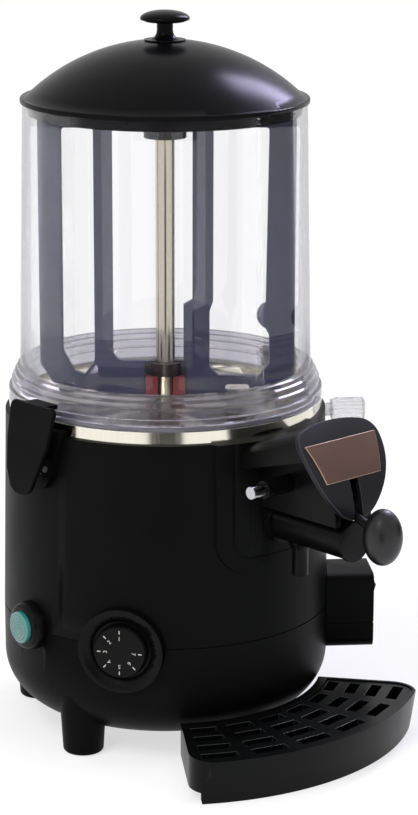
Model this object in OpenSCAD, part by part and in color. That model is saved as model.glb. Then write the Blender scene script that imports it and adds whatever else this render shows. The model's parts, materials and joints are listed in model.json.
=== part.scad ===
// Hot chocolate dispenser: a clear tank with a mixing paddle on a heated round base,
// with a lever tap at the front and a drip tray that stands below it.
// Millimetres, +Z up. The origin is on the axis of the round body at the level it stands on,
// and the tap points towards -Y. Angles round the body count from the tap, + to the right (+X).

/* [Casing] */
// Outer radius of the casing at the seam
casing_r = 133; // [128:0.5:138]
// How much narrower the casing is at its top edge
casing_draft = 3.5; // [1:0.1:4]
// Wall of the two moulded casings
casing_wall = 3; // [2.5:0.1:4]
// Height of the casing's underside above the table
casing_base_z = 18; // [14:0.5:22]
// Radius of the rounded lower edge
casing_corner_r = 42; // [36:1:46]
// Height of the seam between the two casings
seam_z = 100; // [98:0.5:102]
// Height of the casing's top edge
casing_top_z = 262; // [258:1:272]
// Radius of the opening in the bottom
base_opening_r = 70; // [60:1:73]

/* [Feet] */
// How far the side and rear feet stand inside the casing's radius
foot_inset = 20; // [19:0.5:24]
// How far the front foot stands inside the casing's radius
front_foot_inset = 29; // [28:0.5:32]
// Radius of a foot where it meets the table
foot_r = 16.3; // [12:0.1:17]
// Radius of a foot at its top
foot_top_r = 19.5; // [18:0.5:20]
// Height of a foot before it is cut to the casing
foot_h = 58; // [50:1:58]
// Angle of the side feet, counted from the front one
side_foot_angle = 78; // [70:1:80]
// Angle of the rear feet, counted from the front one
rear_foot_angle = 150; // [140:1:160]

/* [Tank] */
// Outer radius of the clear cylinder at its top edge
tank_top_r = 112.5; // [110:0.5:113.5]
// Outer radius of the clear cylinder above its flange
tank_bottom_r = 117; // [115:0.5:118]
// Wall of the clear cylinder
tank_wall = 3.5; // [3:0.1:4]
// Height of the tank's top edge
tank_top_z = 510; // [500:1:520]
// Height of the steel band under the tank
band_h = 10; // [8:0.5:11]
// Height of the stepped flange at the tank's foot
flange_h = 27; // [25:1:30]
// Sheet thickness of the steel bowl
bowl_sheet = 1.5; // [1.2:0.1:2]
// Width of the seal under the tank
gasket_w = 4; // [3:0.5:5]
// Height of the seal under the tank
gasket_h = 2.5; // [2:0.1:3]

/* [Bowl outlet] */
// Distance of the outlet well from the axis
well_y = 70; // [68:1:74]
// Inner radius of the outlet well
well_r = 16; // [14:0.5:17]
// Height of the well's floor
well_floor_z = 178; // [174:1:182]

/* [Water bath] */
// Outer radius of the bath
bath_r = 105; // [102:0.5:108]
// Height of the bath's floor
bath_floor_z = 160; // [156:1:163]
// Sheet thickness of the bath
bath_sheet = 1.2; // [1:0.1:1.5]
// Radius of the heating ring
heater_ring_r = 70; // [62:1:80]
// Radius of the heating tube
heater_tube_r = 4; // [3:0.1:4.5]

/* [Drive] */
// Outer radius of the fixed column
column_r = 7.8; // [7:0.1:8.5]
// Wall of the fixed column
column_wall = 1.5; // [1.2:0.1:2]
// Radius of the drive shaft
shaft_r = 4; // [3.5:0.1:4.2]
// Height of the column's top end
column_top_z = 480; // [470:1:486]
// Height of the motor plate's underside
motor_plate_z = 118; // [115:1:120]
// Radius of the motor
motor_r = 27; // [22:1:32]
// Length of the motor
motor_len = 62; // [50:1:70]
// Height of the gearbox
gearbox_h = 30; // [26:1:32]

/* [Paddle] */
// Angle at which the paddle frame rests
paddle_angle = -42; // [-90:1:90]
// Thickness of the paddle frame
paddle_t = 6; // [4:0.5:8]
// Reach of the frame to the left of the axis
paddle_left = 101; // [97:0.5:103]
// Reach of the frame to the right of the axis
paddle_right = 104; // [99:0.5:106]
// Height of the frame's lower edge
paddle_base_z = 271; // [269:0.5:275]

/* [Lid] */
// Outer radius of the lid's rolled rim
lid_r = 114.3; // [113.8:0.1:116]
// Depth of the lid's skirt inside the tank
skirt_h = 10; // [6:0.5:14]
// Radius at which the dome meets the rim
dome_r = 110; // [107:0.5:111]
// Rise of the dome above its rim
dome_rise = 44.5; // [38:0.5:50]
// Wall of the lid
lid_wall = 2.5; // [2:0.1:3.5]
// Height of the knob over the dome
knob_h = 23; // [21:0.5:27]
// Radius of the knob's cap
knob_r = 19.5; // [17:0.5:22]
// Radius of the knob's stem
knob_stem_r = 6.4; // [5.5:0.1:8]

/* [Tap] */
// Height of the tap barrel's axis
barrel_z = 195; // [193:0.5:197]
// Outer radius of the barrel
barrel_r = 15; // [14:0.5:16]
// Bore radius of the barrel
barrel_bore_r = 9; // [8:0.5:10]
// Reach of the barrel in front of the casing
barrel_reach = 79; // [76:1:82]
// Distance of the spout in front of the casing
spout_reach = 23; // [21.5:0.5:24.5]
// Outer radius of the spout
spout_r = 6.4; // [5.5:0.1:7.5]
// Bore radius of the spout
spout_bore_r = 3.5; // [2.5:0.1:3.8]
// Height of the spout's lower end
spout_end_z = 155; // [145:1:160]

/* [Lever] */
// Distance of the lever's pin in front of the casing
pivot_reach = 30; // [29:0.5:31]
// Height of the lever's pin
pivot_z = 234.5; // [233.5:0.5:236]
// Radius of the pin
pin_r = 3; // [2.5:0.1:3.5]
// Radius of the arm
arm_r = 3.5; // [3:0.1:3.8]
// Length of the arm from the pin to the middle of its knob
arm_len = 85; // [82:1:90]
// Slope of the arm below level at rest
arm_slope = 20.2; // [19:0.1:21]
// Half width of the egg-shaped knob
egg_r = 15.2; // [13:0.1:16]
// Half height of the egg-shaped knob
egg_h = 22; // [19:0.5:23]

/* [Shield] */
// Distance of the shield's reference point in front of the casing
shield_reach = 79.5; // [77:0.5:81]
// Height of the shield's reference point
shield_z = 242.5; // [241:0.5:244]
// Lean of the shield, its top towards the body
shield_lean = 22; // [20:0.5:24]
// Thickness of the shield
shield_t = 4; // [3:0.5:5]
// Half width of the shield
shield_half = 42; // [40:0.5:44]
// Height of the shield's arched top over its reference point
shield_top = 50; // [48:0.5:52]
// Radius of the arch along its top
shield_arch_r = 120; // [100:5:150]
// Radius of its two upper corners
shield_corner_r = 15; // [12:0.5:18]
// Radius of its two long sides
shield_side_r = 72.5; // [70:0.5:76]
// Radius of its rounded tip
shield_tip_r = 28; // [26:0.5:30]
// Radius of the bow of its face from top to tip
shield_bow_r = 105; // [95:5:140]
// Width of the slot for the lever's arm
shield_slot_w = 9; // [8.5:0.1:10]
// Half width of the name plate at its top
plate_top_w = 37.5; // [32:0.5:38]
// Half width of the name plate at its foot
plate_foot_w = 29.2; // [24:0.1:30]
// Thickness of the name plate
plate_t = 1.5; // [1:0.1:2]

/* [Drip tray] */
// Reach of the tray in front of the casing
tray_reach = 78; // [74:1:82]
// How much the front leans in towards its foot
tray_taper = 6; // [3:0.5:8]
// How far the tray's rear edge lies under the casing
tray_tuck = 5; // [3:0.5:6]
// Half of the angle that the tray spans
tray_half = 37; // [36:0.5:40]
// Height of the tray
tray_h = 36; // [34:0.5:38]
// Height of the tray's underside behind its front
tray_under = 9.5; // [6:0.5:11]
// Wall of the tray
tray_wall = 2.6; // [2:0.1:3]
// Thickness of the grid
grid_t = 5; // [4:0.5:6]
// Distance between the grid's rows of slots
grid_pitch = 17.7; // [16:0.1:18.5]
// Width of a slot
grid_slot = 9; // [6:0.5:10]

/* [Latches] */
// Angle of the latches on each side
latch_angle = 90; // [84:1:96]
// Distance of a latch's pin from the casing
latch_pin_out = 8.5; // [8:0.1:9]
// Height of a latch's pin
latch_pin_z = 238; // [236:1:240]
// Radius of a latch's pin
latch_pin_r = 2.5; // [2:0.1:3]
// Half width of a latch at its top
latch_half = 26; // [24:0.5:28]
// Thickness of a latch
latch_t = 4; // [3.5:0.1:5]

/* [Controls] */
// Angle of the power button
power_angle = -95.5; // [-100:0.5:-92]
// Height of the power button
power_z = 101.5; // [96:0.5:104]
// Radius of the button's lens
power_r = 12.8; // [11:0.1:13]
// Angle of the thermostat dial
dial_angle = -57; // [-60:1:-52]
// Height of the thermostat dial
dial_z = 98; // [92:0.5:100]
// Radius of the dial
dial_r = 21.5; // [19:0.5:23]
// Height of the dial over its collar's floor
dial_h = 7; // [6:0.5:10]
// Outer radius of the dial's collar
collar_r = 34; // [31:0.5:36]
// Angle of the switch housing and of the filler above it
pod_angle = 52; // [50:1:56]
// Depth of the switch housing in front of the casing
pod_depth = 37; // [32:1:40]
// Width of the switch housing
pod_w = 50; // [44:1:56]
// Height of the housing's underside
pod_base_z = 57; // [55:1:60]
// Height of the housing
pod_h = 63; // [58:1:66]
// Height of the water filler's axis
filler_z = 255; // [253:0.5:255.5]
// Outer radius of the filler's neck
filler_r = 5.5; // [4.5:0.1:5.7]

/* [Hidden] */
$fn = 96;
// sizes shared by several pieces
cut = 1;
slip = 0.06;
apart = 0.35;
casing_top_r = casing_r - casing_draft;
inner_r = casing_r - casing_wall;
foot_circle_r = casing_r - foot_inset;
front_foot_r = casing_r - front_foot_inset;
// the steel bowl's rim stands on the casing's top edge and carries the tank
band_r = casing_top_r - 3.1;
band_top_z = casing_top_z + band_h;
bowl_floor_z = casing_top_z + bath_sheet;
dish_r = tank_bottom_r - tank_wall - 0.5;
bath_rim_r = casing_top_r - 10.5;
flange_step = (band_r - tank_bottom_r) / 4;
motor_plate_t = 3;
motor_plate_r = 88;
leg_circle_r = 80;
screw_circle_r = base_opening_r + 5;
gearbox_z = motor_plate_z + motor_plate_t;
// the lid's rim sits on the tank's top edge
rim_top_z = tank_top_z + 2.5;
dome_R = (dome_r * dome_r + dome_rise * dome_rise) / (2 * dome_rise);
dome_top_z = rim_top_z + dome_rise;
// the tap's parts stand in front of the casing
barrel_front = casing_r + barrel_reach;
spout_y = casing_r + spout_reach;
pivot_y = casing_r + pivot_reach;
shield_y = casing_r + shield_reach;
// the piston: a head that covers the spout's port, a neck for the lever's fork, a collar and a rod
piston_stroke = 16;
cap_depth = 4;
rod_r = 3.2;
head_rear = spout_y - 6;
head_front = pivot_y + 3;
neck_front = head_front + 8;
collar_front = neck_front + 6;
toe_y = (head_front + neck_front) / 2;
toe_tip_r = 3.4;
surround_r = casing_r + 0.8;
surround_half = 56.5;
surround_foot_z = casing_top_z - 106;
hub_r = 9;
hub_half = 13;
cheek_in = hub_half + 0.6;
cheek_out = cheek_in + 6;
boss_r = 7;
pin_head_x = 48;
pin_head_len = 13.5;
// the bow of the shield is centred a little above its reference point
shield_bow_mid = 5;
tray_r = casing_r + tray_reach;
tray_inner_r = casing_r - tray_tuck;
grid_rear_r = casing_r + 3;
latch_pin_y = casing_r + latch_pin_out;
hook_z = band_top_z + flange_h / 5 * 1.8 + apart;
pad_r = casing_r + 2.5;
bezel_r = 19.5;
pod_reach = casing_r + pod_depth;
rocker_z = pod_base_z + 39;
rocker_pin_r = 2.5;
rocker_pin_half = 8.2;
black = "#17171a";
soft_black = "#232327";
steel = "#c9c7c2";
clear = [0.85, 0.85, 0.9, 0.35];

// points of an arc round c, from angle a0 to a1
function arc(c, r, a0, a1, n) = [for (i = [0:n]) let (a = a0 + (a1 - a0) * i / n) c + r * [cos(a), sin(a)]];
// the same without its first point, to follow another arc
function arc_on(c, r, a0, a1, n) = [for (p = arc(c, r, a0 + (a1 - a0) / n, a1, n - 1)) p];
// a plan point at a distance from the axis and an angle from the front
function round_body(r, a) = [r * sin(a), -r * cos(a)];

// turns what is drawn at the front, outwards = -Y, to an angle round the body
module at_angle(a) {
  rotate([0, 0, a]) children();
}
// stands what is drawn on XY, +Z outwards, at a distance from the axis
module outwards(y, z) {
  translate([0, -y, z]) rotate([90, 0, 0]) children();
}
// a round bar along X
module bar_x(r, x0, x1, y, z) {
  translate([x0, -y, z]) rotate([0, 90, 0]) cylinder(r = r, h = x1 - x0);
}
// a tube that stands on Z
module tube(r, bore, z0, z1) {
  difference() {
    translate([0, 0, z0]) cylinder(r = r, h = z1 - z0);
    translate([0, 0, z0 - cut]) cylinder(r = bore, h = z1 - z0 + 2 * cut);
  }
}

// ---- casings ----
// half section of the lower casing, drawn in by inset
module lower_section(inset, top_z) {
  corner = [casing_r - casing_corner_r, casing_base_z + casing_corner_r];
  translate([0, casing_base_z + inset]) square([corner.x, top_z - casing_base_z - inset]);
  translate([0, corner.y]) square([casing_r - inset, top_z - corner.y]);
  intersection() {
    translate(corner) circle(r = casing_corner_r - inset);
    square([casing_r, corner.y]);
  }
}
module lower_solid(inset, top_z) {
  rotate_extrude() lower_section(inset, top_z);
}
// openings that go through the casings
module casing_openings() {
  at_angle(power_angle) outwards(casing_r - 20, power_z) cylinder(r = power_r + 1.6, h = 30);
  at_angle(dial_angle) outwards(casing_r - 20, dial_z) cylinder(r = 5, h = 30);
  at_angle(pod_angle) outwards(casing_r - 20, pod_base_z + 26) cylinder(r = 10, h = 30);
  at_angle(pod_angle) outwards(bath_r, filler_z) cylinder(r = filler_r + slip, h = casing_r + 10 - bath_r);
  at_angle(180) outwards(casing_r - 20, 75) cylinder(r = 8, h = 30);
  outwards(casing_r - 20, barrel_z) cylinder(r = barrel_r + slip, h = 30);
}
module lower_casing() {
  color(black) difference() {
    lower_solid(0, seam_z);
    lower_solid(casing_wall, seam_z + cut);
    translate([0, 0, casing_base_z - cut]) cylinder(r = base_opening_r, h = casing_wall + 2 * cut);
    // shadow groove along the seam
    difference() {
      translate([0, 0, seam_z - 1]) cylinder(r = casing_r + cut, h = 2);
      translate([0, 0, seam_z - 2]) cylinder(r = casing_r - 0.8, h = 4);
    }
    for (i = [0:2]) at_angle(60 + 120 * i) translate([0, -screw_circle_r, 0])
      cylinder(r = 1.95, h = casing_base_z + casing_wall + cut);
    casing_openings();
  }
}
module upper_casing() {
  ledge_r = bath_r + 3;
  color(black) difference() {
    rotate_extrude() polygon([
      [inner_r, seam_z], [casing_r, seam_z], [casing_top_r, casing_top_z], [ledge_r, casing_top_z],
      [ledge_r, casing_top_z - 4], [inner_r - casing_draft, casing_top_z - 4],
      [inner_r - 0.3, seam_z + 6], [inner_r - 3, seam_z + 6], [inner_r - 3, seam_z - 6],
      [inner_r - 0.3, seam_z - 6], [inner_r - 0.3, seam_z]]);
    casing_openings();
  }
}
module base_plate() {
  plate_r = screw_circle_r + 5;
  color("#8f9092") difference() {
    translate([0, 0, casing_base_z - 1.6]) cylinder(r = plate_r, h = 1.6);
    for (i = [0:2]) at_angle(60 + 120 * i) translate([0, -screw_circle_r, 0])
      cylinder(r = 2.1, h = casing_base_z + cut);
    // air slots
    for (i = [0:11]) rotate([0, 0, 15 + 30 * i]) translate([plate_r / 3, -2, casing_base_z - 5])
      cube([plate_r / 3, 4, 8]);
  }
}
module base_screws() {
  color("#b8b8ba") for (i = [0:2]) at_angle(60 + 120 * i) translate([0, -screw_circle_r, 0]) difference() {
    union() {
      translate([0, 0, casing_base_z - 4]) cylinder(r = 4, h = 2.4);
      translate([0, 0, casing_base_z - 1.7]) cylinder(r = 1.9, h = 1.7 + casing_wall);
    }
    translate([-4, -0.5, casing_base_z - 4.5]) cube([8, 1, 1.5]);
  }
}
// a foot at an angle, its top cut to the casing's rounded edge
module foot(angle, r) {
  at_angle(angle) color(soft_black) difference() {
    translate([0, -r, 0]) rotate_extrude() polygon(concat([[0, 0]],
      arc([foot_r - 3, 3], 3, -90, -10, 5), [[foot_top_r, foot_h], [0, foot_h]]));
    lower_solid(0, seam_z);
  }
}

// ---- heated bowl and tank ----
module product_bowl() {
  color(steel) difference() {
    rotate_extrude() polygon([
      [0, bowl_floor_z], [dish_r + bowl_sheet, bowl_floor_z],
      [dish_r + bowl_sheet, band_top_z - bowl_sheet], [band_r - bowl_sheet, band_top_z - bowl_sheet],
      [band_r - bowl_sheet, casing_top_z], [band_r, casing_top_z], [band_r, band_top_z],
      [dish_r, band_top_z], [dish_r, bowl_floor_z + bowl_sheet], [0, bowl_floor_z + bowl_sheet]]);
    translate([0, -well_y, bowl_floor_z - cut]) cylinder(r = well_r, h = 5);
    translate([0, 0, bowl_floor_z - cut]) cylinder(r = column_r + slip, h = 5);
  }
}
// cup under the hole in the bowl's floor, with a port to the tap
module bowl_outlet() {
  color(steel) difference() {
    translate([0, -well_y, well_floor_z]) cylinder(r = well_r + bath_sheet, h = bowl_floor_z - well_floor_z);
    translate([0, -well_y, well_floor_z + bath_sheet]) cylinder(r = well_r, h = 120);
    outwards(well_y, barrel_z) cylinder(r = barrel_bore_r, h = well_r + 5);
  }
}
module water_bath() {
  color("#b5b4b1") difference() {
    rotate_extrude() polygon([
      [0, bath_floor_z], [bath_r, bath_floor_z], [bath_r, casing_top_z], [bath_rim_r, casing_top_z],
      [bath_rim_r, bowl_floor_z], [bath_r - bath_sheet, bowl_floor_z],
      [bath_r - bath_sheet, bath_floor_z + bath_sheet], [0, bath_floor_z + bath_sheet]]);
    translate([0, 0, bath_floor_z - cut]) cylinder(r = column_r + slip, h = 5);
    outwards(bath_r - 10, barrel_z) cylinder(r = barrel_r + slip, h = 20);
    at_angle(pod_angle) outwards(bath_r - 10, filler_z) cylinder(r = filler_r + slip, h = 20);
    for (x = [-15, 15]) translate([x, heater_ring_r, bath_floor_z - cut])
      cylinder(r = heater_tube_r + slip, h = 5);
  }
}
// a ring of sheathed heating wire with its two ends through the bath's floor
module heating_element() {
  ring_z = bath_floor_z + 11;
  color("#8a8782") difference() {
    union() {
      translate([0, 0, ring_z]) rotate_extrude() translate([heater_ring_r, 0])
        circle(r = heater_tube_r, $fn = 32);
      for (x = [-15, 15]) translate([x, heater_ring_r, bath_floor_z - 12])
        cylinder(r = heater_tube_r, h = ring_z - bath_floor_z + 12);
    }
    translate([-15 + heater_tube_r, heater_ring_r - 15, ring_z - 10]) cube([30 - 2 * heater_tube_r, 30, 20]);
  }
}
module tank_gasket() {
  color("#d8d6d0") tube(dish_r + 1 + gasket_w, dish_r + 1, band_top_z, band_top_z + gasket_h);
}
// clear cylinder with a stepped flange, drawn as half sections
module tank_cylinder() {
  step = flange_step;
  rise = flange_h / 5;
  in_top = tank_top_r - tank_wall;
  in_foot = tank_bottom_r - tank_wall;
  z = band_top_z;
  color(clear) difference() {
    rotate_extrude() polygon([
      [in_foot, z], [band_r, z], [band_r, z + rise * 1.8], [band_r - step, z + rise * 1.8],
      [band_r - step, z + rise * 3], [band_r - 2 * step, z + rise * 3.3],
      [band_r - 2 * step, z + rise * 4], [band_r - 3 * step, z + rise * 4.3],
      [band_r - 3 * step, z + rise * 4.8], [tank_bottom_r, z + flange_h],
      [tank_top_r, tank_top_z], [in_top, tank_top_z], [in_foot, z + flange_h]]);
    tube(dish_r + 1 + gasket_w + 0.1, dish_r + 0.1, z - cut, z + gasket_h + 0.1);
  }
}

// ---- drive ----
module column_tube() {
  color(steel) tube(column_r, column_r - column_wall, bath_floor_z - 2, column_top_z);
}
module column_bush() {
  color("#e4e0d6") difference() {
    union() {
      translate([0, 0, column_top_z - 14]) cylinder(r = column_r - column_wall - 0.05, h = 14);
      translate([0, 0, column_top_z]) cylinder(r = column_r, h = 1.5);
    }
    translate([0, 0, column_top_z - 20]) cylinder(r = shaft_r + slip, h = 30);
  }
}
module drive_shaft() {
  foot_z = gearbox_z + 5;
  color("#a8a7a3") translate([0, 0, foot_z]) cylinder(r = shaft_r, h = column_top_z + 10 - foot_z);
}
// six-sided head on the shaft, which turns the paddle
module drive_head() {
  color(steel) rotate([0, 0, paddle_angle]) difference() {
    translate([0, 0, column_top_z + 2]) cylinder(r = 12, h = 13, $fn = 6);
    translate([0, 0, column_top_z]) cylinder(r = shaft_r + 0.02, h = 10);
  }
}
module gearbox() {
  color("#7d7f82") difference() {
    translate([-32, -24, gearbox_z]) cube([64, 48, gearbox_h]);
    translate([0, 0, gearbox_z + 5]) cylinder(r = shaft_r + slip, h = gearbox_h);
    for (x = [-32, 32], y = [-24, 24]) translate([x, y, gearbox_z - cut])
      cylinder(r = 5, h = gearbox_h + 2 * cut);
  }
}
module gear_motor() {
  color("#4b4d50") union() {
    translate([0, 0, motor_plate_z - motor_len]) cylinder(r = motor_r, h = motor_len);
    translate([0, 0, motor_plate_z - motor_len - 4]) cylinder(r = motor_r - 10, h = 5);
    translate([0, 0, motor_plate_z - 1]) cylinder(r = 10, h = 1 + motor_plate_t);
  }
}
module motor_bracket() {
  color("#8f9092") difference() {
    union() {
      translate([0, 0, motor_plate_z]) cylinder(r = motor_plate_r, h = motor_plate_t);
      for (i = [0:2]) at_angle(120 * i) translate([0, -leg_circle_r, casing_base_z + casing_wall])
        cylinder(r = 5, h = motor_plate_z - casing_base_z - casing_wall + 1);
    }
    translate([0, 0, motor_plate_z - cut]) cylinder(r = 10 + slip, h = 10);
  }
}

// ---- paddle ----
// the frame as seen from the front: outer and inner bars that sweep different rings
module paddle_outline() {
  base = paddle_base_z;
  top = column_top_z + 8;
  difference() {
    polygon([[-paddle_left, top + 10], [-paddle_left, base + 27], [-89, base + 7], [-85, base],
      [92, base], [96, base + 8], [paddle_right, base + 16], [paddle_right, top + 10]]);
    // left outer window
    polygon(concat([[-82, base + 36], [-73, base + 20], [-65, base + 16.7], [-58, base + 26]],
      [[-57, base + 30]], arc([-60, top - 3], 3, 0, 90, 4), arc([-79, top - 3], 3, 90, 180, 4)));
    // window round the column
    polygon(concat([[14.5, base + 28], [14.5, base + 74], [21.7, base + 78]],
      arc([18.7, top - 3], 3, 0, 90, 4), arc([-39, top - 3], 3, 90, 180, 4),
      arc([-33, base + 37], 9, 180, 270, 6)));
    // right outer window with the lobe of the outer bar
    polygon(concat([[43, base + 15.5], [76, base + 15.5], [84, base + 26], [83.4, base + 49]],
      arc([84.4, base + 65], 11, 250, 110, 8), arc([79.5, top - 3], 3, 0, 90, 4),
      arc([41.3, top - 3], 3, 90, 180, 4), [[38.3, base + 77], [35.5, base + 69], [35.5, base + 23]]));
    // slot in the foot rail
    for (x = [51, 65]) translate([x, base + 5.5]) circle(r = 2.8);
    translate([51, base + 2.7]) square([14, 5.6]);
    // room for the shoes at the column's foot
    translate([-16, base - cut]) square([32, 16.5 + cut]);
  }
}
module paddle() {
  hub_z = paddle_base_z + 16.5;
  color("#2b3444") rotate([0, 0, paddle_angle]) difference() {
    union() {
      translate([0, paddle_t / 2, 0]) rotate([90, 0, 0]) linear_extrude(paddle_t) paddle_outline();
      translate([0, 0, column_top_z]) cylinder(r = 17, h = 20);
      translate([0, 0, hub_z]) cylinder(r = 13, h = 10.5);
    }
    translate([0, 0, column_top_z - cut]) cylinder(r = 12.1, h = 16.2, $fn = 6);
    translate([0, 0, hub_z - cut]) cylinder(r = column_r + 0.5, h = 20);
  }
}
// two red shoes in the frame's foot that run round the column
module paddle_shoes() {
  color("#7a2c33") rotate([0, 0, paddle_angle]) for (side = [-1, 1]) difference() {
    translate([side > 0 ? 6 : -15.95, -9, paddle_base_z - 3]) cube([9.95, 18, 19.5]);
    translate([0, 0, paddle_base_z - 5]) cylinder(r = column_r + apart, h = 30);
  }
}

// ---- lid ----
module lid() {
  color(black) difference() {
    rotate_extrude() {
      // dome
      intersection() {
        difference() {
          translate([0, dome_top_z - dome_R]) circle(r = dome_R, $fn = 360);
          translate([0, dome_top_z - dome_R]) circle(r = dome_R - lid_wall, $fn = 360);
        }
        translate([0, rim_top_z]) square([dome_r, dome_rise + 1]);
      }
      // rim with its rolled lip over the tank's edge
      translate([dome_r - 6, tank_top_z]) square([lid_r - dome_r + 6 - 1.25, rim_top_z - tank_top_z]);
      translate([lid_r - 1.25, tank_top_z - 0.75]) square([1.25, 2]);
      // skirt inside the tank
      translate([dome_r - 4, tank_top_z - skirt_h]) square([2.3, skirt_h + 0.5]);
      translate([lid_r - 1.25, tank_top_z + 1.25]) circle(r = 1.25, $fn = 32);
      translate([lid_r - 0.7, tank_top_z - 0.8]) circle(r = 0.7, $fn = 24);
    }
    translate([0, 0, dome_top_z - 10]) cylinder(r = 2.7, h = 20);
  }
}
module lid_knob() {
  top = dome_top_z + knob_h;
  color(soft_black) difference() {
    rotate_extrude() polygon(concat(
      [[0, dome_top_z - 3], [knob_stem_r + 10, dome_top_z - 3], [knob_stem_r + 10, dome_top_z + 0.4]],
      arc([knob_stem_r + 7, dome_top_z + 7], 7, -80, -180, 6),
      [[knob_stem_r, top - 10]],
      [[knob_r - 4, top - 9.2], [knob_r, top - 7.5]],
      [for (i = [0:8]) [knob_r * cos(90 * i / 8), top - 6.5 + 6.5 * sin(90 * i / 8)]]));
    translate([0, 0, dome_top_z - dome_R]) sphere(r = dome_R, $fn = 360);
    translate([0, 0, dome_top_z - 5]) cylinder(r = 2.55, h = 17);
  }
}
module knob_screw() {
  color(steel) union() {
    translate([0, 0, dome_top_z - lid_wall - 3]) cylinder(r = 5, h = 2.8);
    translate([0, 0, dome_top_z - lid_wall - 1]) cylinder(r = 2.5, h = 12);
  }
}

// ---- tap ----
// U-shaped raised panel on the casing round the tap
module tap_surround() {
  corner = 28;
  groove = 12;
  module u_shape(inset) {
    top = casing_top_z + inset * 3;
    polygon(concat([[surround_half - inset, top], [inset - surround_half, top]],
      arc([corner - surround_half, surround_foot_z + corner], corner - inset, 180, 270, 10),
      arc([surround_half - corner, surround_foot_z + corner], corner - inset, 270, 360, 10)));
  }
  module u_solid(inset) {
    rotate([90, 0, 0]) linear_extrude(casing_r + 30) u_shape(inset);
  }
  color(soft_black) difference() {
    intersection() {
      translate([0, 0, surround_foot_z - 5])
        cylinder(r = surround_r, h = casing_top_z - surround_foot_z + 5, $fn = 360);
      u_solid(0);
    }
    casing_outer();
    // groove inside the panel's edge
    difference() {
      intersection() {
        u_solid(groove);
        tube(surround_r + 10, surround_r - 0.5, surround_foot_z, casing_top_z + 5, $fn = 360);
      }
      u_solid(groove + 2);
    }
    outwards(casing_r - 20, barrel_z) cylinder(r = barrel_r + slip, h = 30);
  }
}
module tap_body() {
  color(black) difference() {
    union() {
      outwards(well_y + 10, barrel_z) cylinder(r = barrel_r, h = barrel_front - well_y - 10);
      // collar against the casing
      outwards(casing_r - 3, barrel_z) cylinder(r = barrel_r + 3, h = 9);
      translate([0, -spout_y, spout_end_z]) cylinder(r = spout_r, h = barrel_z - spout_end_z);
      translate([0, -spout_y, barrel_z - barrel_r - 5]) cylinder(r1 = spout_r, r2 = spout_r + 4, h = 8);
    }
    outwards(well_y, barrel_z) cylinder(r = barrel_bore_r, h = barrel_front - well_y + cut);
    translate([0, -spout_y, spout_end_z - cut]) cylinder(r = spout_bore_r, h = barrel_z - spout_end_z);
    translate([0, -well_y, well_floor_z - 5]) cylinder(r = well_r + bath_sheet, h = 60);
    // the collar's back is cut to the raised panel, the rest passes its round hole
    difference() {
      cylinder(r = surround_r, h = casing_top_z);
      outwards(0, barrel_z) cylinder(r = barrel_r, h = casing_r + 20);
    }
    // slot for the lever's fork
    translate([-7.6, -(head_front + 26), barrel_z])
      cube([15.2, 26 + head_front - pivot_y - 1.5, barrel_r + 5]);
  }
}
module tap_seal() {
  color("#3a3a3c") difference() {
    outwards(bath_r - 5, barrel_z) cylinder(r = barrel_r + 5, h = 9);
    outwards(bath_r - 10, barrel_z) cylinder(r = barrel_r + slip, h = 20);
    cylinder(r = bath_r, h = casing_top_z, $fn = 360);
  }
}
module barrel_cap() {
  color(soft_black) union() {
    outwards(barrel_front, barrel_z) cylinder(r = barrel_r + 1.2, h = 3);
    outwards(barrel_front - cap_depth, barrel_z) cylinder(r = barrel_bore_r - 0.05, h = cap_depth + 1);
  }
}
module tap_piston() {
  rod_end = barrel_front - cap_depth - piston_stroke - apart;
  color("#d9d7cf") difference() {
    union() {
      outwards(head_rear, barrel_z) cylinder(r = barrel_bore_r - 0.08, h = head_front - 2.8 - head_rear);
      outwards(head_front - 3, barrel_z) cylinder(r = 6, h = 3);
      outwards(head_front - 1, barrel_z) cylinder(r = 2.5, h = neck_front - head_front + 2);
      outwards(neck_front, barrel_z) cylinder(r = barrel_bore_r - 0.08, h = collar_front - neck_front);
      outwards(collar_front - 1, barrel_z) cylinder(r = rod_r, h = rod_end + 1 - collar_front);
    }
    for (y = [head_rear + 1.4, spout_y + spout_bore_r + 2.2]) outwards(y - 0.95, barrel_z)
      tube(barrel_bore_r + 2, barrel_bore_r - 1.9, 0, 1.9);
  }
}
module piston_rings() {
  color("#1d1d1f") for (y = [head_rear + 1.4, spout_y + spout_bore_r + 2.2]) outwards(y, barrel_z)
    rotate_extrude() translate([barrel_bore_r - 0.96, 0]) circle(r = 0.9, $fn = 24);
}
// closing spring: an open coil, drawn pressed together against the cap as at the lever's end stop
spring_wire_r = 0.6;
spring_r = 6.4;
spring_turns = 6;
spring_len = barrel_front - cap_depth - collar_front - piston_stroke - 1;
spring_rings = 8 * spring_turns;
spring_pitch = (spring_len - 1.4) / spring_turns;
spring_turn = spring_r * 2 * PI;
echo(spring_gap = spring_pitch * spring_turn / norm([spring_turn, spring_pitch]) - 2 * spring_wire_r);
module piston_spring() {
  points = [for (i = [0:spring_rings]) let (a = 360 * i / 8, z = (spring_len - 1.4) * i / spring_rings)
    for (k = [0:5]) let (b = 60 * k, r = spring_r + spring_wire_r * cos(b))
      [r * cos(a), r * sin(a), 0.7 + z + spring_wire_r * sin(b)]];
  side = [for (i = [0:spring_rings - 1], k = [0:5]) let (a = 6 * i + k, b = 6 * i + (k + 1) % 6)
    each [[a, b + 6, b], [a, a + 6, b + 6]]];
  first = [for (k = [1:4]) [0, k, k + 1]];
  last = [for (k = [1:4]) [6 * spring_rings, 6 * spring_rings + k + 1, 6 * spring_rings + k]];
  color("#b9b8b4") outwards(barrel_front - cap_depth - spring_len, barrel_z)
    polyhedron(points, concat(side, first, last));
}
// draws on the shield's plane: x to the right, y up along the shield, +Z out of its face
module on_shield() {
  translate([0, -shield_y, shield_z]) rotate([90 - shield_lean, 0, 0]) children();
}
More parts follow.
